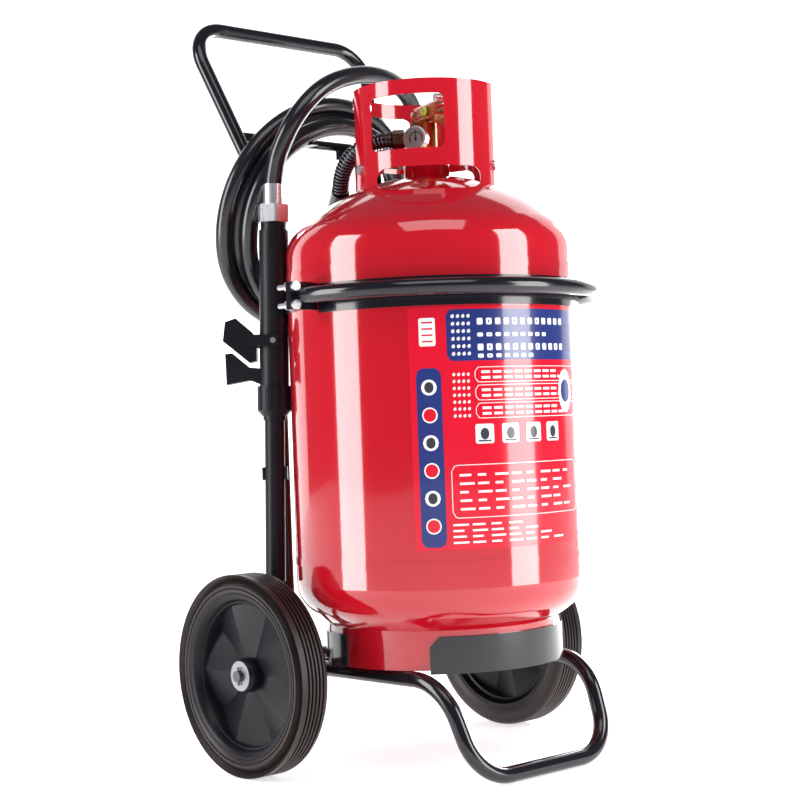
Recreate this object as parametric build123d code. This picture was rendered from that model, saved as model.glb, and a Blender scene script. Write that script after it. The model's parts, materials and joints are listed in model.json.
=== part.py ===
from build123d import *
import math
import os

# Wheeled dry-powder fire extinguisher, millimetres. Z is up, the floor is z = 0, X runs along the
# wheel axle and the front of the trolley, with its foot bar, faces -Y. The origin is on the floor
# under the axis of the cylinder. Angles round the cylinder count from the front towards +X.

# Cylinder
SHELL_R = 200.0
SHELL_WALL = 3.5
CROWN_R = 272.0
KNUCKLE_R = 50.0
SHELL_TOP = 695.0
SHELL_BOTTOM = 250.0
SEAM_HEIGHTS = (281.0, 667.0)
SEAM_HEIGHT = 11.0
SEAM_PROUD = 1.0
NECK_R = 32.0
NECK_BORE_R = 22.0
NECK_TOP = 822.0
RING_R = 160.0
RING_WALL = 4.0
RING_BOTTOM = 142.5
RING_TOP = 204.0

# Collar round the valve
COLLAR_R = 100.0
COLLAR_WALL = 3.0
COLLAR_BOTTOM = 778.0
COLLAR_TOP = 923.0
COLLAR_WINDOWS = ((-60.0, 62.0), (-165.5, 91.0), (60.0, 62.0))
WINDOW_LOW = 830.0
WINDOW_HIGH = 903.0
COLLAR_SLOTS = ((-42.0, 88.0, 806.0), (138.0, 88.0, 823.0))
COLLAR_BOLT_ANGLES = (-107.0, 23.0)
COLLAR_BOLT_Z = 811.0

# Tubular trolley
TUBE_R = 10.5
TUBE_WALL = 2.0
UPRIGHT_X = 102.0
UPRIGHT_Y = 215.0
BEND_Z = 770.0
HANDLE_X = 175.0
HANDLE_Y = 316.0
HANDLE_Z = 1055.0
HANDLE_BEND_R = 50.0
FRAME_Z = 132.0
SIDE_X = 138.0
SIDE_BEND_Y = -138.0
FOOT_X = 124.0
FOOT_Y = -184.0
SIDE_BEND_R = 75.0
FOOT_BEND_R = 60.0

# Hoop and strap that hold the cylinder
HOOP_R = 229.0
HOOP_Z = 634.0
HOOP_HALF_ANGLE = 91.0
STRAP_BOTTOM = 612.0
STRAP_TOP = 650.0
STRAP_WALL = 3.0
REAR_STRAP_WALL = 2.0
FLANGE_HEIGHT = 36.0
FLANGE_WIDTH = 38.0
FLANGE_WALL = 5.0

# Wheels
AXLE_Y = 118.7
AXLE_Z = 135.0
AXLE_R = 7.4
AXLE_HALF = 271.0
TYRE_R = 135.0
TYRE_INNER_R = 110.0
WHEEL_IN = 222.0
WHEEL_OUT = 268.0
DISC_FACE = 256.0
HUB_R = 20.0
HUB_IN = 226.5
HUB_OUT = 262.0
RUN_FIT = 0.05

# Valve
VALVE_TURN = -109.0
VALVE_R = 16.0
PORT_Z = 857.0
HOUSING_R = 8.5
HOUSING_TOP = 890.0
OUTLET_ANGLE = 137.3
GAUGE_ANGLE = -157.6
GAUGE_Z = 853.5
GAUGE_R = 17.0
GAUGE_FACE = 38.0
GAUGE_DEPTH = 11.0
LEVER_PIVOT_X = -14.0
LEVER_PIVOT_Z = 893.0
LEVER_PIN_R = 2.0

# Hose
HOSE_R = 13.0
GUARD_R = 12.5
COIL_R = 185.0
COIL_INNER_R = 139.0
COIL_DEPTH = 48.0
COIL_Y = 225.4
COIL_Z = 765.0
COIL_TILT = 18.5

# Discharge gun, built upright about its own axis and then leaned
GUN_X = -149.0
GUN_Y = 170.0
GUN_Z = 500.0
GUN_LEAN = 2.09
GUN_BODY_R = 20.5
GUN_BALL_Z = 585.0
GUN_BALL_R = 11.0
GUN_HANDLE_TURN = 137.3
GUN_NUT_R = 24.0
BARREL_R = 14.0
BARREL_END = 249.0

MIN_Z = (Align.CENTER, Align.CENTER, Align.MIN)


def save(solid, node):
    solid.label = node
    export_step(solid, f"parts/{node}.step")


def rod(radius, low, high):
    return Pos(0, 0, low) * Cylinder(radius, high - low, align=MIN_Z)


def ring(outer, inner, low, high):
    return rod(outer, low, high) - rod(inner, low - 1, high + 1)


def block(x0, x1, y0, y1, z0, z1):
    centre = Pos((x0 + x1) / 2, (y0 + y1) / 2, (z0 + z1) / 2)
    return centre * Box(abs(x1 - x0), abs(y1 - y0), abs(z1 - z0))


def along_x(solid):
    """Turn a solid made along Z so that it lies along X."""
    return Rot(0, 90, 0) * solid


def round_band(inner, outer, low, high, start, end):
    """A piece of ring from one angle to another, counted from the front."""
    section = Plane.XZ * Pos((inner + outer) / 2, (low + high) / 2) * Rectangle(outer - inner, high - low)
    return Rot(0, 0, start - 90) * revolve(section, Axis.Z, end - start)


def at_angle(angle, solid):
    """Turn a solid that faces +X so that it faces an angle counted from the front."""
    return Rot(0, 0, angle - 90) * solid


def pipe(points, radii, outer, inner=None):
    path = FilletPolyline(*points, radius=radii)
    start = Plane(origin=path @ 0, z_dir=path % 0)
    profile = start * Circle(outer)
    if inner:
        profile -= start * Circle(inner)
    return sweep(profile, path)


def bend_radii(points):
    """The largest radius that each corner of a soft route allows."""
    radii = []
    for before, corner, after in zip(points, points[1:], points[2:]):
        first = Vector(*corner) - Vector(*before)
        second = Vector(*after) - Vector(*corner)
        turn = math.radians(first.get_angle(second))
        radii.append(0.45 * min(first.length, second.length) / math.tan(turn / 2))
    return radii


# ---------------------------------------------------------------- cylinder

def dome_outline(offset):
    """Radius and height of the dome's knuckle and crown, above the straight shell."""
    crown = CROWN_R - offset
    knuckle = KNUCKLE_R - offset
    knuckle_x = SHELL_R - KNUCKLE_R
    crown_drop = math.sqrt((CROWN_R - KNUCKLE_R) ** 2 - knuckle_x ** 2)
    lean = math.atan2(knuckle_x, crown_drop)
    meet = (knuckle_x + knuckle * math.sin(lean), knuckle * math.cos(lean))
    half = math.radians(45) + lean / 2
    mid_knuckle = (knuckle_x + knuckle * math.sin(half), knuckle * math.cos(half))
    mid_crown = (crown * math.sin(lean / 2), crown * math.cos(lean / 2) - crown_drop)
    return SHELL_R - offset, mid_knuckle, meet, mid_crown, crown - crown_drop


def pressure_solid(offset):
    side, mid_knuckle, meet, mid_crown, apex = dome_outline(offset)

    def up(point):
        return (point[0], SHELL_TOP + point[1])

    def down(point):
        return (point[0], SHELL_BOTTOM - point[1])

    edges = [
        Line((0, SHELL_BOTTOM - apex), (0, SHELL_TOP + apex)),
        ThreePointArc((0, SHELL_TOP + apex), up(mid_crown), up(meet)),
        ThreePointArc(up(meet), up(mid_knuckle), (side, SHELL_TOP)),
        Line((side, SHELL_TOP), (side, SHELL_BOTTOM)),
        ThreePointArc((side, SHELL_BOTTOM), down(mid_knuckle), down(meet)),
        ThreePointArc(down(meet), down(mid_crown), (0, SHELL_BOTTOM - apex)),
    ]
    return revolve(Plane.XZ * make_face(edges), Axis.Z)


SHELL_SOLID = pressure_solid(0)
DOME_APEX = dome_outline(0)[4]


def make_cylinder():
    shell = SHELL_SOLID
    for seam in SEAM_HEIGHTS:
        shell += ring(SHELL_R + SEAM_PROUD, SHELL_R - 1, seam - SEAM_HEIGHT / 2, seam + SEAM_HEIGHT / 2)
    shell -= pressure_solid(SHELL_WALL)
    save(shell - rod(NECK_BORE_R, SHELL_TOP, NECK_TOP), "cylinder_shell")

    save(ring(RING_R, RING_R - RING_WALL, RING_BOTTOM, RING_TOP) - SHELL_SOLID, "foot_ring")

    neck = ring(NECK_R, NECK_BORE_R, SHELL_TOP + DOME_APEX - 12, NECK_TOP) - SHELL_SOLID
    save(neck, "neck_boss")


def make_collar():
    collar = ring(COLLAR_R, COLLAR_R - COLLAR_WALL, COLLAR_BOTTOM, COLLAR_TOP) - SHELL_SOLID
    for angle, spread in COLLAR_WINDOWS:
        width = 2 * COLLAR_R * math.sin(math.radians(spread / 2))
        height = WINDOW_HIGH - WINDOW_LOW
        window = extrude(RectangleRounded(height, width, 9), 90)
        window = Pos(40, 0, (WINDOW_LOW + WINDOW_HIGH) / 2) * along_x(window)
        collar -= at_angle(angle, window)
    for angle, spread, slot_high in COLLAR_SLOTS:
        width = 2 * COLLAR_R * math.sin(math.radians(spread / 2))
        slot = extrude(RectangleRounded(2 * (slot_high - COLLAR_BOTTOM), width, 12), 90)
        collar -= at_angle(angle, Pos(45, 0, COLLAR_BOTTOM) * along_x(slot))
    bolts = []
    for angle in COLLAR_BOLT_ANGLES:
        inner = COLLAR_R - COLLAR_WALL
        hole = Pos(inner - 5, 0, COLLAR_BOLT_Z) * along_x(rod(4, 0, 20))
        collar -= at_angle(angle, hole)
        bolt = rod(4, -3, COLLAR_WALL + 2) + rod(7, COLLAR_WALL, COLLAR_WALL + 4) + rod(6.5, -6.5, -0.5)
        bolts.append(at_angle(angle, Pos(inner, 0, COLLAR_BOLT_Z) * along_x(bolt)))
    save(collar, "collar")
    save(Compound(children=[solid for bolt in bolts for solid in bolt.solids()]), "collar_bolts")


def make_label():
    label = round_band(SHELL_R, SHELL_R + 0.4, 300, STRAP_BOTTOM - 2, -53, 42)
    save(label, "label_sheet")


# ---------------------------------------------------------------- trolley

def make_handle_frame():
    points = []
    for side in (-1, 1):
        leg = [
            (side * UPRIGHT_X, UPRIGHT_Y, FRAME_Z + TUBE_R),
            (side * UPRIGHT_X, UPRIGHT_Y, BEND_Z),
            (side * HANDLE_X, HANDLE_Y, HANDLE_Z),
        ]
        points += leg if side < 0 else leg[::-1]
    radii = [80, HANDLE_BEND_R, HANDLE_BEND_R, 80]
    save(pipe(points, radii, TUBE_R, TUBE_R - TUBE_WALL), "handle_frame")


def make_foot_frame():
    back = UPRIGHT_Y - TUBE_R
    points = [
        (-SIDE_X, back, FRAME_Z),
        (-SIDE_X, SIDE_BEND_Y, FRAME_Z),
        (-FOOT_X, FOOT_Y, TUBE_R),
        (FOOT_X, FOOT_Y, TUBE_R),
        (SIDE_X, SIDE_BEND_Y, FRAME_Z),
        (SIDE_X, back, FRAME_Z),
    ]
    radii = [SIDE_BEND_R, FOOT_BEND_R, FOOT_BEND_R, SIDE_BEND_R]
    tube = pipe(points, radii, TUBE_R, TUBE_R - TUBE_WALL)
    axle_hole = Pos(0, AXLE_Y, AXLE_Z) * along_x(rod(AXLE_R, -AXLE_HALF, AXLE_HALF))
    save(tube - axle_hole, "foot_frame")


def make_cross_brace():
    half = SIDE_X + TUBE_R + 4
    brace = Pos(0, UPRIGHT_Y, FRAME_Z) * along_x(ring(TUBE_R, TUBE_R - TUBE_WALL, -half, half))
    save(brace, "cross_brace")


def make_cradle():
    low = RING_BOTTOM - 4.5
    front = round_band(RING_R, RING_R + 3.5, low, low + 48, -50.5, 50.5)
    for side in (-1, 1):
        chamfer = Rot(45, 0, 0) * Box(30, 20, 20)
        front -= at_angle(side * 51.0, Pos(RING_R, 0, low + 48) * chamfer)
    save(front, "cradle_front_band")
    save(round_band(RING_R, RING_R + 3.5, RING_BOTTOM, RING_BOTTOM + 42, 97, 263), "cradle_rear_band")


def make_hoop():
    section = Plane.XZ * Pos(HOOP_R, HOOP_Z) * (Circle(TUBE_R) - Circle(TUBE_R - TUBE_WALL))
    tube = revolve(section, Axis.Z, 2 * HOOP_HALF_ANGLE)
    save(Rot(0, 0, -HOOP_HALF_ANGLE - 90) * tube, "hoop_tube")

    strap = round_band(SHELL_R, SHELL_R + STRAP_WALL, STRAP_BOTTOM, STRAP_TOP, -HOOP_HALF_ANGLE,
                       HOOP_HALF_ANGLE)
    save(strap, "hoop_strap")

    plates = []
    lugs = []
    bolts = []
    plate_in = HOOP_R - FLANGE_WIDTH / 2
    plate_out = HOOP_R + FLANGE_WIDTH / 2
    low = HOOP_Z - FLANGE_HEIGHT / 2
    high = HOOP_Z + FLANGE_HEIGHT / 2
    upright_angle = 180 - math.degrees(math.atan2(UPRIGHT_X, UPRIGHT_Y))
    for side in (-1, 1):
        plate = at_angle(side * HOOP_HALF_ANGLE, block(plate_in, plate_out, 0, side * FLANGE_WALL, low, high))
        lug = block(SHELL_R + 0.5, plate_out, side * FLANGE_WALL, side * 2 * FLANGE_WALL, low, high)
        lug = at_angle(side * HOOP_HALF_ANGLE, lug)
        start, end = sorted((side * (HOOP_HALF_ANGLE + 2), side * (upright_angle + 3)))
        rear_strap = round_band(SHELL_R, SHELL_R + REAR_STRAP_WALL, low + 3, high - 3, start, end)
        spacer = block(SHELL_R + 1, SHELL_R + 32, -5, 5, low + 3, high - 3)
        lug = lug + rear_strap + at_angle(side * upright_angle, spacer) - SHELL_SOLID
        lug -= Pos(side * UPRIGHT_X, UPRIGHT_Y, 0) * rod(TUBE_R, low, high)
        for height in (low + 6, high - 6):
            hole_axis = Pos(HOOP_R + 12.5, 0, height) * Rot(side * -90, 0, 0)
            bolt = rod(3.5, -1, 2 * FLANGE_WALL + 22) + rod(6.5, -5, 0)
            bolt += ring(6.5, 3.4, 2 * FLANGE_WALL, 2 * FLANGE_WALL + 5)
            bolt = at_angle(side * HOOP_HALF_ANGLE, hole_axis * bolt)
            plate -= bolt
            lug -= bolt
            bolts += bolt.solids()
        plates += plate.solids()
        lugs += lug.solids()
    save(Compound(children=plates), "hoop_flanges")
    save(Compound(children=lugs), "upright_lugs")
    save(Compound(children=bolts), "hoop_bolts")


def leg_centre(height):
    """Centre of the right-hand leg of the handle at a height above its bend."""
    share = (height - BEND_Z) / (HANDLE_Z - BEND_Z)
    return (UPRIGHT_X + share * (HANDLE_X - UPRIGHT_X), UPRIGHT_Y + share * (HANDLE_Y - UPRIGHT_Y))


def make_hanger():
    bar_z = 888.0
    bar_x, bar_y = leg_centre(bar_z)
    bar = Pos(0, bar_y, bar_z) * along_x(rod(7, -bar_x, bar_x))
    for side in (-1, 1):
        leg = Line((side * UPRIGHT_X, UPRIGHT_Y, BEND_Z), (side * HANDLE_X, HANDLE_Y, HANDLE_Z))
        profile = Plane(origin=leg @ 0, z_dir=leg % 0) * Circle(TUBE_R)
        bar -= sweep(profile, leg)
    arms = []
    for side in (-1, 1):
        shelf = block(side * 56, side * 68, 165, bar_y, 868, 872)
        riser = block(side * 56, side * 68, bar_y - 8, bar_y, 868, bar_z)
        arms.append(shelf + riser - Pos(0, bar_y, bar_z) * along_x(rod(7, -100, 100)))
    coil_space = coil_outline(COIL_R + 1, COIL_INNER_R - 1, COIL_DEPTH + 2)
    hanger = bar.solids() + [solid for arm in arms for solid in (arm - coil_space).solids()]
    save(Compound(children=hanger), "hose_hanger")


def make_gun_clips():
    for name, height in (("gun_clip_upper", 685.0), ("gun_clip_lower", 400.0)):
        lean = math.tan(math.radians(GUN_LEAN))
        centre_x = GUN_X + (height - GUN_Z) * lean
        radius = GUN_BODY_R if height > GUN_Z else BARREL_R
        reach = math.hypot(centre_x + UPRIGHT_X, GUN_Y - UPRIGHT_Y)
        turn = math.degrees(math.atan2(GUN_Y - UPRIGHT_Y, centre_x + UPRIGHT_X))
        arm = block(TUBE_R - 1, reach - radius - 0.6, -3, 3, -9, 9)
        cup = ring(radius + 4, radius + 0.8, -9, 9) - block(4, radius + 8, -radius - 8, radius + 8, -10, 10)
        clip = arm + Pos(reach, 0, 0) * cup
        clip -= rod(TUBE_R, -10, 10)
        clip = Pos(-UPRIGHT_X, UPRIGHT_Y, height) * Rot(0, 0, turn) * clip
        gun_space = Pos(GUN_X, GUN_Y, GUN_Z) * Rot(0, GUN_LEAN, 0) * rod(radius + 0.5, -200, 220)
        save(clip - gun_space - SHELL_SOLID, name)


# ---------------------------------------------------------------- wheels

def make_axle():
    axle = Pos(0, AXLE_Y, AXLE_Z) * along_x(rod(AXLE_R, -AXLE_HALF, AXLE_HALF))
    pins = []
    collars = []
    washers = []
    for side in (-1, 1):
        pin = Pos(side * 267.5, AXLE_Y, AXLE_Z) * rod(1.6, -12, 12)
        axle -= Pos(side * 267.5, AXLE_Y, AXLE_Z) * rod(1.6, -13, 13)
        pins.append(pin)
        near, far = sorted((side * 212, side * (HUB_IN - 0.5)))
        collars.append(Pos(0, AXLE_Y, AXLE_Z) * along_x(ring(13, AXLE_R, near, far)))
        near, far = sorted((side * (HUB_OUT + 0.3), side * (HUB_OUT + 2.8)))
        washers.append(Pos(0, AXLE_Y, AXLE_Z) * along_x(ring(HUB_R, AXLE_R, near, far)))
    save(axle, "axle")
    save(Compound(children=pins), "axle_pins")
    save(Compound(children=collars), "axle_collars")
    save(Compound(children=washers), "axle_washers")


def make_wheel(name, side):
    def placed(solid):
        turn = 0 if side > 0 else 180
        return Pos(0, AXLE_Y, AXLE_Z) * Rot(0, 0, turn) * along_x(solid)

    shoulder = 7.0
    outer = rod(TYRE_R, WHEEL_IN, WHEEL_OUT)
    outer = fillet(outer.edges().filter_by(GeomType.CIRCLE), shoulder)
    tyre = outer - rod(TYRE_INNER_R, WHEEL_IN - 1, WHEEL_OUT + 1)
    for groove in range(4):
        centre = WHEEL_IN + 11 + 8 * groove
        tyre -= ring(TYRE_R + 5, TYRE_R - 3, centre - 1.2, centre + 1.2)
    save(placed(tyre), f"{name}_tyre")

    rim = ring(TYRE_INNER_R, TYRE_INNER_R - 6, WHEEL_IN + 3, WHEEL_OUT - 2)
    rim += ring(TYRE_INNER_R, 97, DISC_FACE - 4, DISC_FACE + 3)
    rim += ring(TYRE_INNER_R - 5, HUB_R - 3, DISC_FACE - 4, DISC_FACE)
    rim += ring(HUB_R, 13, HUB_IN, HUB_OUT)
    save(placed(rim), f"{name}_rim")

    bushing = ring(13, AXLE_R + RUN_FIT, HUB_IN, HUB_OUT)
    save(placed(bushing), f"{name}_bushing")


# ---------------------------------------------------------------- valve

def valve_frame(solid):
    """Put a solid made with the lever along +X into the valve's place."""
    return Rot(0, 0, VALVE_TURN) * solid


def outlet_frame(solid):
    """Put a solid made along +Z so that it runs out of the outlet port."""
    return Rot(0, 0, OUTLET_ANGLE) * Pos(0, 0, PORT_Z) * along_x(solid)


def gauge_frame(solid):
    return Rot(0, 0, GAUGE_ANGLE) * Pos(0, 0, GAUGE_Z) * along_x(solid)


def make_valve_body():
    body = rod(VALVE_R, NECK_TOP, 878) + rod(HOUSING_R, 877, HOUSING_TOP)
    body += rod(NECK_BORE_R + 4, NECK_TOP, NECK_TOP + 8)
    body += rod(NECK_BORE_R, NECK_TOP - 20, NECK_TOP + 1)
    body += outlet_frame(rod(11, 0, 34))
    body += gauge_frame(rod(5.5, 0, GAUGE_FACE - GAUGE_DEPTH))
    cheek_low, cheek_high = 876, LEVER_PIVOT_Z + 4
    for side in (-1, 1):
        cheek = block(LEVER_PIVOT_X - 4, LEVER_PIVOT_X + 4, side * 8.6, side * 12, cheek_low, cheek_high)
        body += valve_frame(cheek)
    body += valve_frame(block(LEVER_PIVOT_X - 4, 0, -12, 12, 870, 880))
    body -= rod(3.05, 868, HOUSING_TOP + 1)
    body -= rod(6.5, 845, 868.5)
    body -= rod(9, NECK_TOP - 21, 846)
    body -= outlet_frame(rod(7, 0, 35))
    body -= gauge_frame(rod(2.5, 0, 29))
    pivot = Pos(LEVER_PIVOT_X, 0, LEVER_PIVOT_Z) * Rot(90, 0, 0) * rod(LEVER_PIN_R, -20, 20)
    body -= valve_frame(pivot)
    save(body, "valve_body")


def make_valve_grip():
    grip = block(HOUSING_R + 2, 62, -13, 13, 880.5, 883)
    for side in (-1, 1):
        grip += block(HOUSING_R + 2, 62, side * 13, side * 10.5, 880.5, 896)
        wing = Rot(side * -28, 0, 0) * block(12, 62, 0, side * 16, -1.2, 1.2)
        grip += Pos(0, side * 12, 881.5) * wing
    grip += block(12, 62, 24, 26.4, 864, 875)
    pin_hole = Pos(32, 0, 890) * Rot(90, 0, 0) * rod(2.1, -30, 30)
    grip = grip - pin_hole - rod(HOUSING_R + 0.1, 870, 900)
    save(valve_frame(grip), "valve_grip")


def make_valve_lever():
    lever = block(LEVER_PIVOT_X - 5, 56, -8, 8, 899.5, 902)
    for side in (-1, 1):
        lever += block(LEVER_PIVOT_X - 5, LEVER_PIVOT_X + 5, side * 8.2, side * 5.7,
                       LEVER_PIVOT_Z - 5, 902)
    loop = Pos(50, 0, 905.5) * Rot(90, 0, 0) * rod(6, -8, 8)
    loop -= Pos(50, 0, 905.5) * Rot(90, 0, 0) * rod(3.8, -9, 9)
    lever += loop
    lever -= Pos(LEVER_PIVOT_X, 0, LEVER_PIVOT_Z) * Rot(90, 0, 0) * rod(LEVER_PIN_R + RUN_FIT, -10, 10)
    save(valve_frame(lever), "valve_lever")

    pin = Rot(90, 0, 0) * (rod(LEVER_PIN_R, -12, 12) + rod(3.6, 12, 14) + rod(3.6, -14, -12))
    save(valve_frame(Pos(LEVER_PIVOT_X, 0, LEVER_PIVOT_Z) * pin), "lever_pin")


def make_safety_pin():
    pin = Rot(-90, 0, 0) * rod(2.0, -17, 17)
    pull = Pos(0, 25.6, 0) * Rot(0, 90, 0) * Torus(9, 1.2)
    pin += pull
    save(valve_frame(Pos(32, 0, 890) * pin), "safety_pin")
    tag = Rot(90, 0, 0) * (rod(6.5, -0.8, 0.8) + Pos(-9, 0, 0) * rod(4.5, -0.8, 0.8))
    tag -= Rot(90, 0, 0) * rod(2.1, -2, 2)
    save(valve_frame(Pos(32, -15.0, 890) * tag), "seal_tag")


def make_valve_inside():
    save(rod(3.0, 862, 899.2), "valve_stem")
    save(ring(6.2, 3.0, 862, 866), "stem_seal")
    wire = Helix(pitch=4, height=13, radius=4.6, center=(0, 0, 847.5))
    wire_plane = Plane(origin=wire @ 0, z_dir=wire % 0)
    save(sweep(wire_plane * Circle(0.7), wire, is_frenet=True), "stem_spring")
    save(ring(9, 7, 190, 840), "dip_tube")


def make_gauge():
    back = GAUGE_FACE - GAUGE_DEPTH
    case = rod(GAUGE_R, back, GAUGE_FACE) - rod(GAUGE_R - 1.2, back + 2, GAUGE_FACE + 1)
    save(gauge_frame(case), "gauge_case")
    save(gauge_frame(rod(GAUGE_R - 1.2, back + 2, back + 6)), "gauge_dial")
    needle = rod(1.6, back + 6.6, back + 8) + block(-11.5, 4, -0.5, 0.5, back + 6.8, back + 7.6)
    save(gauge_frame(needle), "gauge_needle")
    lens = rod(GAUGE_R - 1.2, GAUGE_FACE - 1.6, GAUGE_FACE - 0.2)
    save(gauge_frame(lens), "gauge_lens")


def make_outlet():
    nut = extrude(RegularPolygon(14.5, 6), 16) - Cylinder(11, 60) - Cylinder(7, 60)
    nut += ring(13, 7, 12, 16)
    save(outlet_frame(Pos(0, 0, 30) * nut), "outlet_nut")
    save(pipe(GUARD_ROUTE, [60], GUARD_R), "hose_guard")


# ---------------------------------------------------------------- hose

OUT = Vector(1, 0, 0).rotate(Axis.Z, OUTLET_ANGLE)
GUARD_ROUTE = [
    (46 * OUT.X, 46 * OUT.Y, PORT_Z),
    (118 * OUT.X, 118 * OUT.Y, PORT_Z),
    (-56, 120, 796),
]
LEAD_ROUTE = [
    (-56, 120, 796),
    (-28, 166, 774),
    (-4, 211, 732),
    (14, 226, 666),
    (60, 242, 634),
]
DROP_ROUTE = [
    (-137.8, 170, 806),
    (-139, 153, 852),
    (-125, 130, 900),
    (-76, 119, 950),
    (15, 122, 975),
    (95, 136, 960),
    (146, 162, 912),
    (163, 192, 850),
]


def coil_outline(outer, inner, depth):
    flat = Cylinder(outer, depth) - Cylinder(inner, depth + 2)
    return Pos(0, COIL_Y, COIL_Z) * Rot(90 + COIL_TILT, 0, 0) * flat


def make_hose():
    save(coil_outline(COIL_R, COIL_INNER_R, COIL_DEPTH), "hose_coil")
    for node, route in (("hose_lead", LEAD_ROUTE), ("hose_drop", DROP_ROUTE)):
        radii = bend_radii(route)
        tube = pipe(route, radii, HOSE_R)
        length = FilletPolyline(*route, radius=radii).length
        print(node, "radii", [round(radius) for radius in radii], "length", round(length),
              "volume share", round(tube.volume / (math.pi * HOSE_R ** 2 * length), 4))
        save(tube, node)


# ---------------------------------------------------------------- gun

# Side outlines of the handles: distance from the gun's axis, and height above the floor
LEVER_OUTLINE = [(24, 588), (32, 599), (53, 617), (68, 612), (71, 585), (34, 554.5), (24, 557)]
GRIP_OUTLINE = [(10, 521), (33, 530), (66, 524), (68, 567), (58, 568), (34, 548), (10, 546)]
LEVER_HALF_WIDTH = 12.0
GRIP_HALF_WIDTH = 11.0
LEVER_CHEEK = 5.0
LEVER_SWING = 30
SPINDLE_R = 4.0
GUN_PASSAGE_R = 6.5


def gun_place(solid):
    """Lean a solid made about the upright gun axis, with heights above the floor."""
    return Pos(GUN_X, GUN_Y, GUN_Z) * Rot(0, GUN_LEAN, 0) * Pos(0, 0, -GUN_Z) * solid


def gun_side(solid):
    """Turn a solid made towards +X so that it points along the gun's handles."""
    return Rot(0, 0, GUN_HANDLE_TURN) * solid


def gun_cross(solid):
    """Lay a solid made along Z across the gun, through the ball's centre."""
    return Pos(0, 0, GUN_BALL_Z) * Rot(90, 0, 0) * solid


def make_gun_inlet():
    save(gun_place(ring(14.3, 8, 777, 806)), "gun_ferrule")
    nut = Pos(0, 0, 752) * extrude(RegularPolygon(23.5, 6), 25) - rod(12, 750, 780)
    nut = nut & rod(22.6, 750, 780)
    save(gun_place(nut), "gun_swivel_nut")
    inlet = ring(18, 8, 741, 752) + ring(12, 8, 750, 777)
    save(gun_place(inlet), "gun_inlet")


def make_gun_body():
    body = rod(GUN_BODY_R, 522, 741)
    body -= rod(8, 520, 742)
    body -= Pos(0, 0, GUN_BALL_Z) * Sphere(GUN_BALL_R + 0.4)
    body -= rod(GUN_BALL_R + 0.4, GUN_BALL_Z, 742)
    body -= gun_side(gun_cross(rod(3.05 + 0.95 + RUN_FIT, -30, 30)))
    save(gun_place(body), "gun_body")
    seat = ring(GUN_BALL_R, 8, GUN_BALL_Z + 9, GUN_BALL_Z + 14) - Pos(0, 0, GUN_BALL_Z) * Sphere(GUN_BALL_R + 0.3)
    sleeve = ring(GUN_BALL_R + 0.4, 8, GUN_BALL_Z + 14, 740)
    save(gun_place(seat + sleeve), "gun_seat")


def gun_plate(outline, half_width):
    """Solid with an outline in the plane of the handles, and a width across it."""
    return extrude(Plane.XZ * make_face(Polyline(*outline, close=True)), half_width, both=True)


def make_gun_grip():
    grip = gun_plate(GRIP_OUTLINE, GRIP_HALF_WIDTH) - rod(GUN_BODY_R, 500, 620)
    save(gun_place(gun_side(grip)), "gun_grip")


def make_gun_lever():
    near = GUN_BODY_R + 1
    far = GUN_BODY_R + LEVER_CHEEK
    lever = gun_plate(LEVER_OUTLINE, LEVER_HALF_WIDTH)
    for side in (-1, 1):
        lever += block(-8, 34, side * near, side * far, GUN_BALL_Z - 8, GUN_BALL_Z + 8)
        lever += block(29, 35, side * 9, side * far, GUN_BALL_Z - 8, GUN_BALL_Z + 8)
    for swing in range(0, LEVER_SWING + 1, 5):
        lever -= Pos(0, 0, GUN_BALL_Z) * Rot(0, swing, 0) * rod(GUN_BODY_R + 0.8, -90, 90)
    lever -= gun_cross(rod(SPINDLE_R, -40, 40))
    save(gun_place(gun_side(lever)), "gun_lever")
    end = GUN_BODY_R + LEVER_CHEEK + 2
    spindle = gun_cross(rod(SPINDLE_R, -end, end))
    ball = Pos(0, 0, GUN_BALL_Z) * Sphere(GUN_BALL_R)
    passage = rod(GUN_PASSAGE_R, GUN_BALL_Z - 20, GUN_BALL_Z + 20)
    save(gun_place(gun_side(ball - passage - gun_cross(rod(SPINDLE_R, -20, 20)))), "gun_ball")
    save(gun_place(gun_side(spindle - (gun_cross(rod(10, -6.5, 6.5)) & passage))), "gun_spindle")


def make_gun_barrel():
    nut = Pos(0, 0, 480) * Cone(17, GUN_NUT_R, 8, align=MIN_Z) + rod(GUN_NUT_R, 488, 522)
    for step in range(16):
        rib = Pos(GUN_NUT_R + 0.6, 0, 489) * Box(2.4, 2.2, 31, align=MIN_Z)
        nut -= Rot(0, 0, 22.5 * step) * rib
    save(gun_place(nut - rod(8, 470, 530)), "gun_nut")
    barrel = ring(BARREL_R, BARREL_R - 4, BARREL_END, 480)
    barrel += ring(BARREL_R + 2, BARREL_R - 4, 474, 480)
    save(gun_place(barrel), "gun_barrel")


os.makedirs("parts", exist_ok=True)
make_cylinder()
make_collar()
make_label()
make_handle_frame()
make_foot_frame()
make_cross_brace()
make_cradle()
make_hoop()
make_hanger()
make_gun_clips()
make_axle()
make_wheel("left", -1)
make_wheel("right", 1)
make_valve_body()
make_valve_grip()
make_valve_lever()
make_safety_pin()
make_valve_inside()
make_gauge()
make_outlet()
make_hose()
make_gun_inlet()
make_gun_body()
make_gun_grip()
make_gun_lever()
make_gun_barrel()
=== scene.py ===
import json
import math

import bmesh
import bpy
from mathutils import Matrix, Vector


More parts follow.
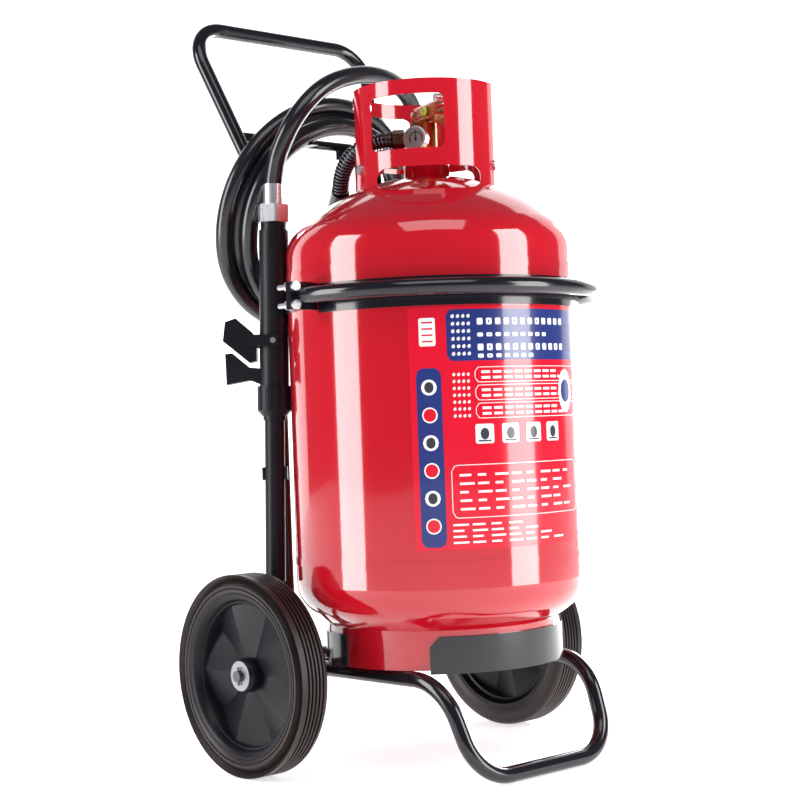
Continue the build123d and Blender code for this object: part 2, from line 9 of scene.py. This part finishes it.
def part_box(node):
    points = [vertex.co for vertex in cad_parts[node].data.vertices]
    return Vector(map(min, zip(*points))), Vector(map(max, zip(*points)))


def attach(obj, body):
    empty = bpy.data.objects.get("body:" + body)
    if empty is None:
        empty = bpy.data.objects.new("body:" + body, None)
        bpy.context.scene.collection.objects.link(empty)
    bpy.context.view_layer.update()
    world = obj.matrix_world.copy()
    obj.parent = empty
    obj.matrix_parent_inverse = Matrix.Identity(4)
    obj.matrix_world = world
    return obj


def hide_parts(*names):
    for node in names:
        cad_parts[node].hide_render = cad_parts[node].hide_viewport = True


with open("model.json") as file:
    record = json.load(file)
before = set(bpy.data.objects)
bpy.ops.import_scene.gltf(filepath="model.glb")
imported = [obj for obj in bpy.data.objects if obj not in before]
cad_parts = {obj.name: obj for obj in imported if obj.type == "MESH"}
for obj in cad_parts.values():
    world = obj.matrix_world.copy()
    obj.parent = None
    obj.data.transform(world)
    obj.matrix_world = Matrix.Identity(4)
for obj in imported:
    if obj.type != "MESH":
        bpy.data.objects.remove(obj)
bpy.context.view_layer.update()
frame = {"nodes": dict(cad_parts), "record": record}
BODY = "trolley"
MM = 0.001

# Camera
CAMERA_PLACE = (-1.632, -1.700, 0.463)
CAMERA_AZIMUTH = -42.64
CAMERA_PITCH = 0.80
CAMERA_ROLL = -2.09
CAMERA_LENS = 76.4

# Cylinder and label: printed layers stand a hair's breadth above each other
SHELL_R = 0.200
LABEL_R = 0.2004
LAYER = 0.00012

# Wheel, from the tyre's own box
tyre_low, tyre_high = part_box("right_tyre")
TYRE_R = (tyre_high[2] - tyre_low[2]) / 2
AXLE_Y = (tyre_high[1] + tyre_low[1]) / 2
AXLE_Z = (tyre_high[2] + tyre_low[2]) / 2
WHEEL_IN = tyre_low[0]
WHEEL_OUT = tyre_high[0]
TYRE_INNER_R = 0.110
HUB_R = 0.020
DISC_FACE = 0.256
SHOULDER_R = 0.008
TREAD_GROOVES = 5
GROOVE_DEPTH = 0.0035
SIDE_RINGS = (0.1225, 0.1165)
DISC_FACETS = 10
DISC_THICKNESS = 0.003
DISC_SWING = 0.0075

# Hose
HOSE_R = 0.013
GUARD_TURNS = 25
GUARD_SLEEVE_R = 0.0096
GUARD_WIRE_R = 0.0016
GUARD_COIL_R = 0.0108
COIL_CENTRE = Vector((0, 0.226, 0.765))
COIL_TILT = math.radians(18.5)
COIL_POINTS = 16


# ---------------------------------------------------------------- materials

RELIEF_DEPTH = 0.0004


def new_material(name):
    material = bpy.data.materials.new(name)
    material.use_nodes = True
    return material, material.node_tree.nodes, material.node_tree.links


def noise(nodes, links, scale, detail=3.0):
    coords = nodes.new("ShaderNodeTexCoord")
    texture = nodes.new("ShaderNodeTexNoise")
    texture.inputs["Scale"].default_value = scale
    texture.inputs["Detail"].default_value = detail
    links.new(coords.outputs["Object"], texture.inputs["Vector"])
    return texture


def ranged(nodes, links, source, low, high):
    spread = nodes.new("ShaderNodeMapRange")
    spread.inputs["To Min"].default_value = low
    spread.inputs["To Max"].default_value = high
    links.new(source.outputs[0], spread.inputs["Value"])
    return spread


def surface(name, colour, rough, coat=0.0, bump_scale=300.0, bump=0.05, tint=None, shine=0.5):
    """A Principled surface with a fine bump, uneven roughness and, with tint, a mottled colour."""
    material, nodes, links = new_material(name)
    shader = nodes["Principled BSDF"]
    shader.inputs["Base Color"].default_value = (*colour, 1)
    shader.inputs["Coat Weight"].default_value = coat
    shader.inputs["Coat Roughness"].default_value = 0.04
    shader.inputs["Specular IOR Level"].default_value = shine
    grain = noise(nodes, links, bump_scale)
    spread = ranged(nodes, links, noise(nodes, links, 14.0), rough * 0.85, rough * 1.15)
    links.new(spread.outputs[0], shader.inputs["Roughness"])
    relief = nodes.new("ShaderNodeBump")
    relief.inputs["Strength"].default_value = bump
    relief.inputs["Distance"].default_value = RELIEF_DEPTH
    links.new(grain.outputs[0], relief.inputs["Height"])
    links.new(relief.outputs[0], shader.inputs["Normal"])
    if tint:
        ramp = nodes.new("ShaderNodeValToRGB")
        ramp.color_ramp.elements[0].position = 0.35
        ramp.color_ramp.elements[1].position = 0.65
        ramp.color_ramp.elements[0].color = (*colour, 1)
        ramp.color_ramp.elements[1].color = (*tint, 1)
        links.new(noise(nodes, links, 9.0, 5.0).outputs[0], ramp.inputs["Fac"])
        links.new(ramp.outputs[0], shader.inputs["Base Color"])
    return material


def brushed(name, colour, rough, stretch):
    """Metal with fine parallel marks, stretched along one axis."""
    material, nodes, links = new_material(name)
    shader = nodes["Principled BSDF"]
    shader.inputs["Base Color"].default_value = (*colour, 1)
    shader.inputs["Metallic"].default_value = 1.0
    coords = nodes.new("ShaderNodeTexCoord")
    mapping = nodes.new("ShaderNodeMapping")
    mapping.inputs["Scale"].default_value = stretch
    texture = nodes.new("ShaderNodeTexNoise")
    texture.inputs["Scale"].default_value = 60.0
    links.new(coords.outputs["Object"], mapping.inputs["Vector"])
    links.new(mapping.outputs[0], texture.inputs["Vector"])
    spread = ranged(nodes, links, texture, rough * 0.7, rough * 1.4)
    links.new(spread.outputs[0], shader.inputs["Roughness"])
    return material


def glass(name):
    material, nodes, links = new_material(name)
    shader = nodes["Principled BSDF"]
    shader.inputs["Transmission Weight"].default_value = 1.0
    shader.inputs["IOR"].default_value = 1.2
    spread = ranged(nodes, links, noise(nodes, links, 40.0), 0.0, 0.03)
    links.new(spread.outputs[0], shader.inputs["Roughness"])
    return material


RED = (0.50, 0.004, 0.014)
LABEL_RED = (0.66, 0.004, 0.024)
BLUE = (0.016, 0.030, 0.17)
MATERIALS = {
    "red_paint": surface("red_paint", RED, 0.10, coat=1.0, bump_scale=120, bump=0.04),
    "label_film": surface("label_film", LABEL_RED, 0.16, coat=0.6, bump_scale=90, bump=0.03),
    "black_tube": surface("black_tube", (0.007, 0.006, 0.010), 0.15, coat=0.25, bump_scale=500, bump=0.08),
    "zinc_steel": brushed("zinc_steel", (0.62, 0.62, 0.64), 0.28, (1, 1, 12)),
    "tyre_rubber": surface("tyre_rubber", (0.016, 0.011, 0.011), 0.40, bump_scale=700, bump=0.25, shine=0.35,
                           tint=(0.030, 0.020, 0.018)),
    "black_plastic": surface("black_plastic", (0.007, 0.006, 0.009), 0.36, bump_scale=900, bump=0.30, shine=0.22,
                             tint=(0.010, 0.009, 0.013)),
    "hose_rubber": surface("hose_rubber", (0.008, 0.007, 0.011), 0.24, coat=0.35, bump_scale=260, bump=0.12),
    "brass": brushed("brass", (0.55, 0.27, 0.10), 0.30, (1, 1, 6)),
    "chrome": brushed("chrome", (0.90, 0.90, 0.92), 0.30, (8, 8, 1)),
    "white_plastic": surface("white_plastic", (0.82, 0.82, 0.80), 0.35, bump_scale=300, bump=0.05),
    "needle_black": surface("needle_black", (0.02, 0.02, 0.02), 0.4, bump_scale=300, bump=0.05),
    "gauge_glass": glass("gauge_glass"),
    "tag_green": surface("tag_green", (0.50, 0.72, 0.06), 0.3, bump_scale=200, bump=0.08),
}
PRINT = {
    "white": surface("print_white", (0.86, 0.86, 0.86), 0.25, coat=0.4, bump_scale=90, bump=0.02),
    "blue": surface("print_blue", BLUE, 0.2, coat=0.6, bump_scale=90, bump=0.02),
    "red": surface("print_red", LABEL_RED, 0.16, coat=0.6, bump_scale=90, bump=0.02),
    "dark": surface("print_dark", (0.03, 0.03, 0.04), 0.3, coat=0.3, bump_scale=90, bump=0.02),
    "green": surface("print_green", (0.03, 0.35, 0.10), 0.3, bump_scale=90, bump=0.02),
}
DARK_BRASS = brushed("dark_brass", (0.16, 0.075, 0.045), 0.34, (1, 1, 6))
DARK_STEEL = brushed("dark_steel", (0.13, 0.12, 0.14), 0.24, (1, 1, 6))
OWN_MATERIALS = {"outlet_nut": DARK_BRASS, "axle": DARK_STEEL, "axle_pins": DARK_STEEL,
                 "axle_washers": brushed("dull_steel", (0.34, 0.34, 0.36), 0.4, (1, 1, 6))}
SOFT_EDGES = {"gun_lever": 0.0022, "gun_grip": 0.0022, "gun_swivel_nut": 0.0012, "gun_nut": 0.0006,
              "outlet_nut": 0.0008, "valve_body": 0.0010, "valve_grip": 0.0010, "cradle_front_band": 0.0008,
              "hoop_flanges": 0.0006, "seal_tag": 0.0005, "collar": 0.0006, "valve_lever": 0.0004}


def dress_cad_nodes():
    slots = {part["node"]: part["material_slot"] for part in frame["record"]["subparts"]}
    for node, piece in frame["nodes"].items():
        material = OWN_MATERIALS.get(node, MATERIALS[slots[node]])
        for slot in piece.material_slots:
            slot.link = "OBJECT"
            slot.material = material
        if node in SOFT_EDGES:
            bevel = piece.modifiers.new("soft_edges", "BEVEL")
            bevel.width = SOFT_EDGES[node]
            bevel.segments = 2
            bevel.limit_method = "ANGLE"
            bevel.angle_limit = math.radians(40)


# ---------------------------------------------------------------- mesh helpers

def add_piece(name, mesh, material, body=BODY):
    piece = bpy.data.objects.new(name, mesh)
    bpy.context.collection.objects.link(piece)
    mesh.materials.clear()
    mesh.materials.append(material)
    for face in mesh.polygons:
        face.use_smooth = True
    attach(piece, body)
    return piece


def mesh_from(name, points, faces):
    mesh = bpy.data.meshes.new(name)
    mesh.from_pydata(points, [], faces)
    mesh.validate()
    build = bmesh.new()
    build.from_mesh(mesh)
    bmesh.ops.recalc_face_normals(build, faces=build.faces)
    build.to_mesh(mesh)
    build.free()
    return mesh


def lathe(name, outline, place, segments=96):
    """Turn a closed outline of (along, radius) pairs; place maps (along, radius, angle) to a point."""
    count = len(outline)
    points = []
    for step in range(segments):
        angle = 2 * math.pi * step / segments
        points += [place(along, radius, angle) for along, radius in outline]
    faces = []
    for step in range(segments):
        here = step * count
        there = (step + 1) % segments * count
        for edge in range(count):
            after = (edge + 1) % count
            faces.append((here + edge, here + after, there + after, there + edge))
    return mesh_from(name, points, faces)


def sharpen(piece, degrees=35):
    """Keep edges sharper than an angle crisp while the rest of the piece shades smooth."""
    piece.data.set_sharp_from_angle(angle=math.radians(degrees))


def tube_along(points, radius, sides=10):
    """Rings of points round a line of points, as vertices and faces, with closed ends."""
    vertices = []
    faces = []
    side = Vector((0, 0, 1))
    for index, point in enumerate(points):
        before = points[max(index - 1, 0)]
        after = points[min(index + 1, len(points) - 1)]
        forward = (after - before).normalized()
        side = (side - side.dot(forward) * forward).normalized()
        across = forward.cross(side)
        for step in range(sides):
            angle = 2 * math.pi * step / sides
            vertices.append(point + radius * (math.cos(angle) * side + math.sin(angle) * across))
    for index in range(len(points) - 1):
        for step in range(sides):
            after = (step + 1) % sides
            here = index * sides
            faces.append((here + step, here + after, here + sides + after, here + sides + step))
    faces.append(tuple(range(sides)))
    faces.append(tuple(range(len(vertices) - sides, len(vertices))))
    return vertices, faces


# ---------------------------------------------------------------- label graphics

class Print:
    """Flat shapes in one colour, wrapped on the cylinder a small height above the label."""

    def __init__(self, name, colour, layer):
        self.name = name
        self.colour = colour
        self.radius = LABEL_R + layer * LAYER
        self.points = []
        self.faces = []

    def columns(self, left, right, low, high, steps):
        """A shape between two curves; left and right are along the surface, heights are functions."""
        first = len(self.points)
        for step in range(steps + 1):
            along = left + (right - left) * step / steps
            angle = along / SHELL_R
            for height in (low(along), high(along)):
                self.points.append((self.radius * math.sin(angle), -self.radius * math.cos(angle), height))
        for step in range(steps):
            start = first + 2 * step
            self.faces.append((start, start + 2, start + 3, start + 1))

    def panel(self, left, right, low, high, corner=0.0):
        steps = max(2, int((right - left) / 0.004))
        if corner:
            steps = max(steps, 14)

        def inset(along):
            reach = min(along - left, right - along)
            if reach >= corner:
                return 0.0
            return corner - math.sqrt(max(corner ** 2 - (corner - reach) ** 2, 0.0))

        self.columns(left, right, lambda a: low + inset(a), lambda a: high - inset(a), steps)

    def oval(self, middle, height, half_width, half_height):
        def rise(along):
            share = (along - middle) / half_width
            return half_height * math.sqrt(max(1 - share ** 2, 0))

        self.columns(middle - half_width, middle + half_width, lambda a: height - rise(a),
                     lambda a: height + rise(a), 16)

    def drop(self, middle, height, size):
        """A leaning teardrop: a round belly with a point at the upper right."""
        def belly(along):
            return math.sqrt(max(size ** 2 - (along - middle) ** 2, 0))

        def top(along):
            share = max(0.0, (along - middle + size) / (2 * size))
            return height + belly(along) * 0.8 + 1.1 * size * share ** 3 * (1.0 - share) * 4

        self.columns(middle - size, middle + size, lambda a: height - belly(a), top, 10)

    def finish(self):
        mesh = mesh_from(self.name, self.points, self.faces)
        add_piece(self.name, mesh, PRINT[self.colour])


def around(degrees):
    """Distance along the surface from the front to an angle."""
    return math.radians(degrees) * SHELL_R


def make_label():
    white = Print("label_white", "white", 2)
    blue = Print("label_blue", "blue", 1)
    red = Print("label_red", "red", 3)
    dark = Print("label_dark", "dark", 3)

    # Header panel with its field of drops and bars of lettering
    blue.panel(around(-39), around(25), 0.540, 0.606, 0.008)
    for column in range(4):
        for row in range(6):
            white.drop(around(-36.6) + 0.0068 * column, 0.549 + 0.0096 * row, 0.0022)
    for row, (height, share) in enumerate(((0.590, 0.93), (0.573, 0.75), (0.557, 0.96), (0.546, 0.60))):
        left = around(-27.5)
        size = 0.0085 if row in (0, 2) else 0.0050
        for letter in range(int(13 * share)):
            start = left + 0.0125 * letter
            white.panel(start, start + 0.0078, height - size / 2, height + size / 2, 0.0015)
            if letter % 3 == 1:
                dark.panel(start + 0.0028, start + 0.0046, height - size / 5, height + size / 5)

    # Side strip with its column of emblems
    blue.panel(around(-50.6), around(-41.4), 0.304, 0.532, 0.010)
    for row in range(6):
        height = 0.5075 - 0.0353 * row
        white.oval(around(-46), height, 0.0100, 0.0100)
        if row % 2:
            red.oval(around(-46), height, 0.0082, 0.0082)
        else:
            dark.oval(around(-46), height, 0.006, 0.007)

    # Second field of drops
    for column in range(4):
        for row in range(7):
            white.drop(around(-36.8) + 0.0062 * column, 0.470 + 0.0088 * row, 0.0019)

    # Three outlined boxes, the oval badge and the row of small pictures
    for row, low in enumerate((0.512, 0.489, 0.466)):
        for print_piece, edge in ((white, 0.0), (red, 0.0009)):
            print_piece.panel(around(-29) + edge, around(23) - edge, low + edge, low + 0.020 - edge,
                              0.006 - edge)
        layer = Print(f"label_line_{row}", "white", 4)
        for line in range(2):
            for word in range(9 - line):
                start = around(-26.5) + 0.0158 * word
                layer.panel(start, start + 0.0120, low + 0.0045 + 0.0072 * line, low + 0.0078 + 0.0072 * line)
        layer.finish()
    badge = Print("label_badge", "white", 5)
    badge.oval(around(15.0), 0.499, 0.0175, 0.0285)
    badge.finish()
    inner = Print("label_badge_mark", "blue", 6)
    inner.oval(around(15.0), 0.499, 0.0120, 0.0150)
    inner.finish()
    for picture in range(4):
        start = around(-29.5) + 0.0365 * picture
        white.panel(start, start + 0.0250, 0.434, 0.459, 0.002)
        dark.oval(start + 0.0125, 0.4465, 0.0060, 0.0075)
        dark.panel(start + 0.004, start + 0.021, 0.4365, 0.4385)

    # Outlined notice box and the lines of small print below it
    for print_piece, edge in ((white, 0.0), (red, 0.0010)):
        print_piece.panel(around(-39) + edge, around(21.5) - edge, 0.340 + edge, 0.408 - edge, 0.008 - edge)
    notice = Print("label_notice", "white", 4)
    for line in range(5):
        for word in range(8 - line % 2):
            start = around(-36) + 0.0235 * word
            notice.panel(start, start + 0.0190 - 0.004 * ((word + line) % 3), 0.3500 + 0.0108 * line,
                         0.3530 + 0.0108 * line)
    notice.finish()
    for line in range(4):
        for word in range(7 - line):
            start = around(-39) + 0.0250 * word
            white.panel(start, start + 0.0200 - 0.003 * ((word + line) % 3), 0.3080 + 0.0075 * line,
                        0.3106 + 0.0075 * line)

    # Small sticker at the upper left
    white.panel(around(-49), around(-43), 0.560, 0.596, 0.002)
    for line in range(4):
        red.panel(around(-48), around(-44), 0.565 + 0.008 * line, 0.567 + 0.008 * line)

    for print_piece in (white, blue, red, dark):
        print_piece.finish()


# ---------------------------------------------------------------- wheels

def wheel_place(side):
    def place(along, radius, angle):
        return (side * along, AXLE_Y + radius * math.cos(angle), AXLE_Z + radius * math.sin(angle))
    return place


def tyre_outline():
    """Outline of the tyre, from the inner lip over the tread to the outer lip."""
    outline = [(WHEEL_IN + 0.003, TYRE_INNER_R), (WHEEL_IN, TYRE_INNER_R + 0.006), (WHEEL_IN, TYRE_R - 0.010)]
    turns = [math.radians(22.5 * step) for step in range(5)]
    for turn in turns:
        outline.append((WHEEL_IN + SHOULDER_R * (1 - math.cos(turn)),
                        TYRE_R - SHOULDER_R * (1 - math.sin(turn))))
    first = WHEEL_IN + 0.011
    last = WHEEL_OUT - 0.011
    for groove in range(TREAD_GROOVES):
        middle = first + (last - first) * groove / (TREAD_GROOVES - 1)
        outline += [(middle - 0.0016, TYRE_R), (middle - 0.0010, TYRE_R - GROOVE_DEPTH),
                    (middle + 0.0010, TYRE_R - GROOVE_DEPTH), (middle + 0.0016, TYRE_R)]
    for turn in turns:
        inward = SHOULDER_R * (1 - math.cos(turn))
        outline.append((WHEEL_OUT - inward, TYRE_R - inward))
    for radius in SIDE_RINGS:
        outline += [(WHEEL_OUT, radius + 0.0012), (WHEEL_OUT - 0.0016, radius + 0.0004),
                    (WHEEL_OUT - 0.0016, radius - 0.0004), (WHEEL_OUT, radius - 0.0012)]
    outline += [(WHEEL_OUT - 0.0010, TYRE_INNER_R + 0.002), (WHEEL_OUT - 0.003, TYRE_INNER_R)]
    return outline


def disc_mesh(name, side):
    """The pleated disc: flat facets that run between five ridges and five valleys."""
    per_facet = 4
    rings = ((HUB_R + 0.001, 0.15), (0.030, 0.35), (0.050, 0.65), (0.070, 0.9), (0.092, 1.0), (0.0965, 1.0))
    place = wheel_place(side)
    points = []
    faces = []
    count = DISC_FACETS * per_facet
    for back in (0.0, -DISC_THICKNESS):
        for radius, share in rings:
            for step in range(count):
                angle = 2 * math.pi * step / count
                wave = abs((step / per_facet) % 2 - 1) * 2 - 1
                points.append(place(DISC_FACE - 0.011 + back + DISC_SWING * wave * share, radius, angle))
    layers = len(rings)
    for face_side in range(2):
        for ring in range(layers - 1):
            for step in range(count):
                after = (step + 1) % count
                here = (face_side * layers + ring) * count
                faces.append((here + step, here + after, here + count + after, here + count + step))
    for ring in (0, layers - 1):
        for step in range(count):
            after = (step + 1) % count
            front = ring * count
            rear = (layers + ring) * count
            faces.append((front + step, front + after, rear + after, rear + step))
    return mesh_from(name, points, faces)


def make_wheel(side, name):
    place = wheel_place(side)
    body = f"{name}_wheel"
    tyre = add_piece(f"{name}_tyre_tread", lathe(f"{name}_tyre_tread", tyre_outline(), place, 128),
                     MATERIALS["tyre_rubber"], body)
    sharpen(tyre, 30)
    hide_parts(f"{name}_tyre")

    rim_outline = [
        (WHEEL_IN + 0.003, 0.1040), (WHEEL_IN + 0.003, TYRE_INNER_R), (WHEEL_OUT - 0.002, TYRE_INNER_R),
        (WHEEL_OUT - 0.002, 0.1060), (WHEEL_OUT - 0.004, 0.1035), (WHEEL_OUT - 0.006, 0.1010),
        (DISC_FACE, 0.0985), (DISC_FACE, 0.0965), (DISC_FACE - 0.002, 0.0950), (DISC_FACE - 0.023, 0.0950),
        (DISC_FACE - 0.024, 0.0985), (DISC_FACE - 0.020, 0.1020),
    ]
    hub_outline = [
        (0.2265, 0.013), (0.2265, HUB_R - 0.001), (0.2275, HUB_R), (0.2460, HUB_R + 0.003),
        (0.2560, HUB_R + 0.003), (0.2605, HUB_R + 0.001), (0.2620, HUB_R - 0.001), (0.2620, 0.013),
    ]
    rim = add_piece(f"{name}_rim_ring", lathe(f"{name}_rim_ring", rim_outline, place),
                    MATERIALS["black_plastic"], body)
    sharpen(rim, 40)
    hub = add_piece(f"{name}_hub", lathe(f"{name}_hub", hub_outline, place, 48),
                    MATERIALS["black_plastic"], body)
    sharpen(hub, 40)
    disc = add_piece(f"{name}_disc", disc_mesh(f"{name}_disc", side), MATERIALS["black_plastic"],
                     body)
    sharpen(disc, 12)
    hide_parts(f"{name}_rim")
    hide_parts(f"{name}_rim")
    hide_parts(f"{name}_rim")


# ---------------------------------------------------------------- hose

OUTLET_TURN = math.radians(137.3)
OUTLET = Vector((math.cos(OUTLET_TURN), math.sin(OUTLET_TURN), 0))
PORT = Vector((0, 0, 857))
GUARD_ROUTE = [(46 * OUTLET + PORT) * MM, (118 * OUTLET + PORT) * MM, Vector((-56, 120, 796)) * MM]
LEAD_ROUTE = [
    (-56, 120, 796),
    (-28, 166, 774),
    (-4, 211, 732),
    (14, 226, 666),
]
DROP_ROUTE = [
    (163, 192, 850),
    (146, 162, 912),
    (95, 136, 960),
    (15, 122, 975),
    (-76, 119, 950),
    (-125, 130, 900),
    (-139, 153, 852),
    (-138.6, 165, 826),
    (-137.8, 170, 806),
]
# Each turn of the coil, in mm: its radius, its place front to back, and how far its bottom pulls in
COIL_TURNS = ((150, 11, 4), (172, 11, 20), (146, -12, 2), (168, -13, 12))
COIL_START = -68.0
COIL_END = 26.0 + 3 * 360
CROSSING = 0.16


def coil_value(turns, column):
    """One of a turn's numbers after some turns, easing from each turn to the next at the crossing."""
    last = min(int(turns), len(COIL_TURNS) - 1)
    here = COIL_TURNS[last][column]
    before = COIL_TURNS[max(last - 1, 0)][column]
    share = min(max((turns - last) / CROSSING, 0.0), 1.0)
    share = share * share * (3 - 2 * share)
    return before + (here - before) * share


def coil_points():
    across = Vector((1, 0, 0))
    up = Vector((0, -math.sin(COIL_TILT), math.cos(COIL_TILT)))
    back = Vector((0, math.cos(COIL_TILT), math.sin(COIL_TILT)))
    total = (COIL_END - COIL_START) / 360
    count = round(total * COIL_POINTS)
    points = []
    for step in range(count + 1):
        turns = total * step / count
        angle = math.radians(COIL_START + 360 * turns)
        pull = coil_value(turns, 2) * max(0.0, -math.sin(angle - 0.5))
        radius = (coil_value(turns, 0) - pull) / math.cos(math.pi / COIL_POINTS)
        flat = across * radius * math.cos(angle) + up * radius * math.sin(angle)
        points.append(COIL_CENTRE + (flat + back * coil_value(turns, 1)) * MM)
    return points


def smooth_curve(name, route, resolution):
    """Curve of one smooth spline that has the route's points as its control points."""
    curve = bpy.data.curves.new(name, "CURVE")
    curve.dimensions = "3D"
    spline = curve.splines.new("NURBS")
    spline.points.add(len(route) - 1)
    for point, place in zip(spline.points, route):
        point.co = (*place, 1)
    spline.order_u = 3
    spline.use_endpoint_u = True
    spline.resolution_u = resolution
    return curve


def make_hose():
    """The whole hose as one cord: lead, wound turns and the drop to the gun."""
    route = [Vector(point) * MM for point in LEAD_ROUTE]
    route += coil_points()
    route += [Vector(point) * MM for point in DROP_ROUTE]
    curve = smooth_curve("hose_cord", route, 8)
    curve.bevel_depth = HOSE_R
    curve.bevel_resolution = 6
    curve.use_fill_caps = True
    curve.materials.append(MATERIALS["hose_rubber"])
    hose = bpy.data.objects.new("hose_cord", curve)
    bpy.context.collection.objects.link(hose)
    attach(hose, BODY)
    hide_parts("hose_coil", "hose_lead", "hose_drop")
    tuple(route[0])


def line_of(route):
    """Points along the smooth line of a route, read from its own spline."""
    curve = smooth_curve("line", route, 24)
    holder = bpy.data.objects.new("line", curve)
    bpy.context.collection.objects.link(holder)
    mesh = bpy.data.meshes.new_from_object(holder)
    points = [vertex.co.copy() for vertex in mesh.vertices]
    bpy.data.objects.remove(holder)
    bpy.data.meshes.remove(mesh)
    bpy.data.curves.remove(curve)
    return points


def along_line(line, share):
    """The point, and the direction, at a share of a line of points."""
    spans = [(after - before).length for before, after in zip(line, line[1:])]
    left = share * sum(spans)
    for index, span in enumerate(spans):
        if left <= span or index == len(spans) - 1:
            step = line[index + 1] - line[index]
            return line[index] + step * min(left / span, 1.0), step.normalized()
        left -= span


def make_guard():
    """Open-wound spring over the first bend of the hose."""
    line = line_of(GUARD_ROUTE)
    vertices, faces = tube_along(line, GUARD_SLEEVE_R, 20)
    sleeve = add_piece("guard_sleeve", mesh_from("guard_sleeve", vertices, faces), MATERIALS["hose_rubber"])
    per_turn = 14
    wire = []
    side = Vector((0, 0, 1))
    for step in range(GUARD_TURNS * per_turn + 1):
        centre, forward = along_line(line, step / (GUARD_TURNS * per_turn))
        side = (side - side.dot(forward) * forward).normalized()
        angle = 2 * math.pi * step / per_turn
        wire.append(centre + GUARD_COIL_R * (math.cos(angle) * side + math.sin(angle) * forward.cross(side)))
    vertices, faces = tube_along(wire, GUARD_WIRE_R, 6)
    spring = add_piece("guard_spring", mesh_from("guard_spring", vertices, faces), DARK_STEEL)
    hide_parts("hose_guard")
    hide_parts("hose_guard")


# ---------------------------------------------------------------- gauge face

def make_gauge_face():
    turn = math.radians(-157.6)
    out = Vector((math.cos(turn), math.sin(turn), 0))
    side = Vector((-out.y, out.x, 0))
    centre = out * 0.03325 + Vector((0, 0, 0.8535))

    def place(radius, degrees, lift=0.0):
        angle = math.radians(degrees)
        return centre + out * lift + radius * (math.sin(angle) * side + math.cos(angle) * Vector((0, 0, 1)))

    for name, colour, start, end in (("dial_low", "red", -120, -60), ("dial_good", "green", -60, 40),
                                     ("dial_high", "red", 40, 120)):
        points = []
        steps = 12
        for step in range(steps + 1):
            degrees = start + (end - start) * step / steps
            points += [place(0.0082, degrees), place(0.0100, degrees)]
        faces = [(2 * s, 2 * s + 1, 2 * s + 3, 2 * s + 2) for s in range(steps)]
        add_piece(name, mesh_from(name, points, faces), PRINT[colour])
    points = []
    faces = []
    for tick in range(13):
        degrees = -120 + 20 * tick
        start = len(points)
        points += [place(0.0104, degrees - 1.5, 0.0001), place(0.0126, degrees - 1.5, 0.0001),
                   place(0.0126, degrees + 1.5, 0.0001), place(0.0104, degrees + 1.5, 0.0001)]
        faces.append(tuple(range(start, start + 4)))
    add_piece("dial_ticks", mesh_from("dial_ticks", points, faces), PRINT["dark"])


# ---------------------------------------------------------------- stage

def glowing_white(name, strength):
    material, nodes, _ = new_material(name)
    shader = nodes["Principled BSDF"]
    shader.inputs["Base Color"].default_value = (0.85, 0.85, 0.85, 1)
    shader.inputs["Roughness"].default_value = 0.9
    shader.inputs["Emission Color"].default_value = (1, 1, 1, 1)
    shader.inputs["Emission Strength"].default_value = strength
    return material


def make_stage():
    for name, points, strength in (
        ("floor", [(-9, -9, -0.0005), (9, -9, -0.0005), (9, 9, -0.0005), (-9, 9, -0.0005)], 0.62),
        ("backdrop", [(-2, 8, -1), (8, -2, -1), (8, -2, 6), (-2, 8, 6)], 1.0),
    ):
        mesh = mesh_from(name, points, [(0, 1, 2, 3)])
        mesh.materials.append(glowing_white(name, strength))
        piece = bpy.data.objects.new(name, mesh)
        bpy.context.collection.objects.link(piece)


def soft_box(name, azimuth, distance, width, height, power, centre=0.75):
    """A rectangular light that stands round the object and faces it; azimuth 0 is straight in front."""
    light = bpy.data.lights.new(name, "AREA")
    light.shape = "RECTANGLE"
    light.size = width
    light.size_y = height
    light.energy = power
    lamp = bpy.data.objects.new(name, light)
    angle = math.radians(azimuth)
    lamp.location = (distance * math.sin(angle), -distance * math.cos(angle), centre)
    aim = Vector((0, 0, 0.55)) - lamp.location
    lamp.rotation_euler = aim.to_track_quat("-Z", "Y").to_euler()
    bpy.context.collection.objects.link(lamp)


def make_lights():
    soft_box("left_box", -113, 2.4, 0.95, 2.6, 62)
    soft_box("right_box", 22, 2.4, 1.05, 2.6, 70)
    soft_box("rim_box", 105, 2.6, 1.2, 2.4, 130)
    soft_box("top_box", -40, 1.4, 1.6, 1.2, 14, centre=2.4)
    world = bpy.data.worlds.new("studio")
    world.use_nodes = True
    world.node_tree.nodes["Background"].inputs["Color"].default_value = (0.82, 0.80, 0.90, 1)
    world.node_tree.nodes["Background"].inputs["Strength"].default_value = 0.16
    bpy.context.scene.world = world
    bpy.context.scene.view_settings.view_transform = "Standard"


def make_camera():
    azimuth, pitch, roll = (math.radians(a) for a in (CAMERA_AZIMUTH, CAMERA_PITCH, CAMERA_ROLL))
    forward = Vector((-math.sin(azimuth) * math.cos(pitch), math.cos(azimuth) * math.cos(pitch),
                      math.sin(pitch)))
    level = forward.cross(Vector((0, 0, 1))).normalized()
    upright = level.cross(forward)
    right = math.cos(roll) * level + math.sin(roll) * upright
    up = math.cos(roll) * upright - math.sin(roll) * level
    camera = bpy.data.cameras.new("camera")
    camera.lens = CAMERA_LENS
    camera.sensor_width = 36
    holder = bpy.data.objects.new("camera", camera)
    bpy.context.collection.objects.link(holder)
    turn = Matrix((right, up, -forward)).transposed().to_4x4()
    holder.matrix_world = Matrix.Translation(CAMERA_PLACE) @ turn
    bpy.context.scene.camera = holder


make_camera()
make_hose()
dress_cad_nodes()
make_label()
make_guard()
make_gauge_face()
for wheel_side, wheel_name in ((-1, "left"), (1, "right")):
    make_wheel(wheel_side, wheel_name)
make_stage()
make_lights()
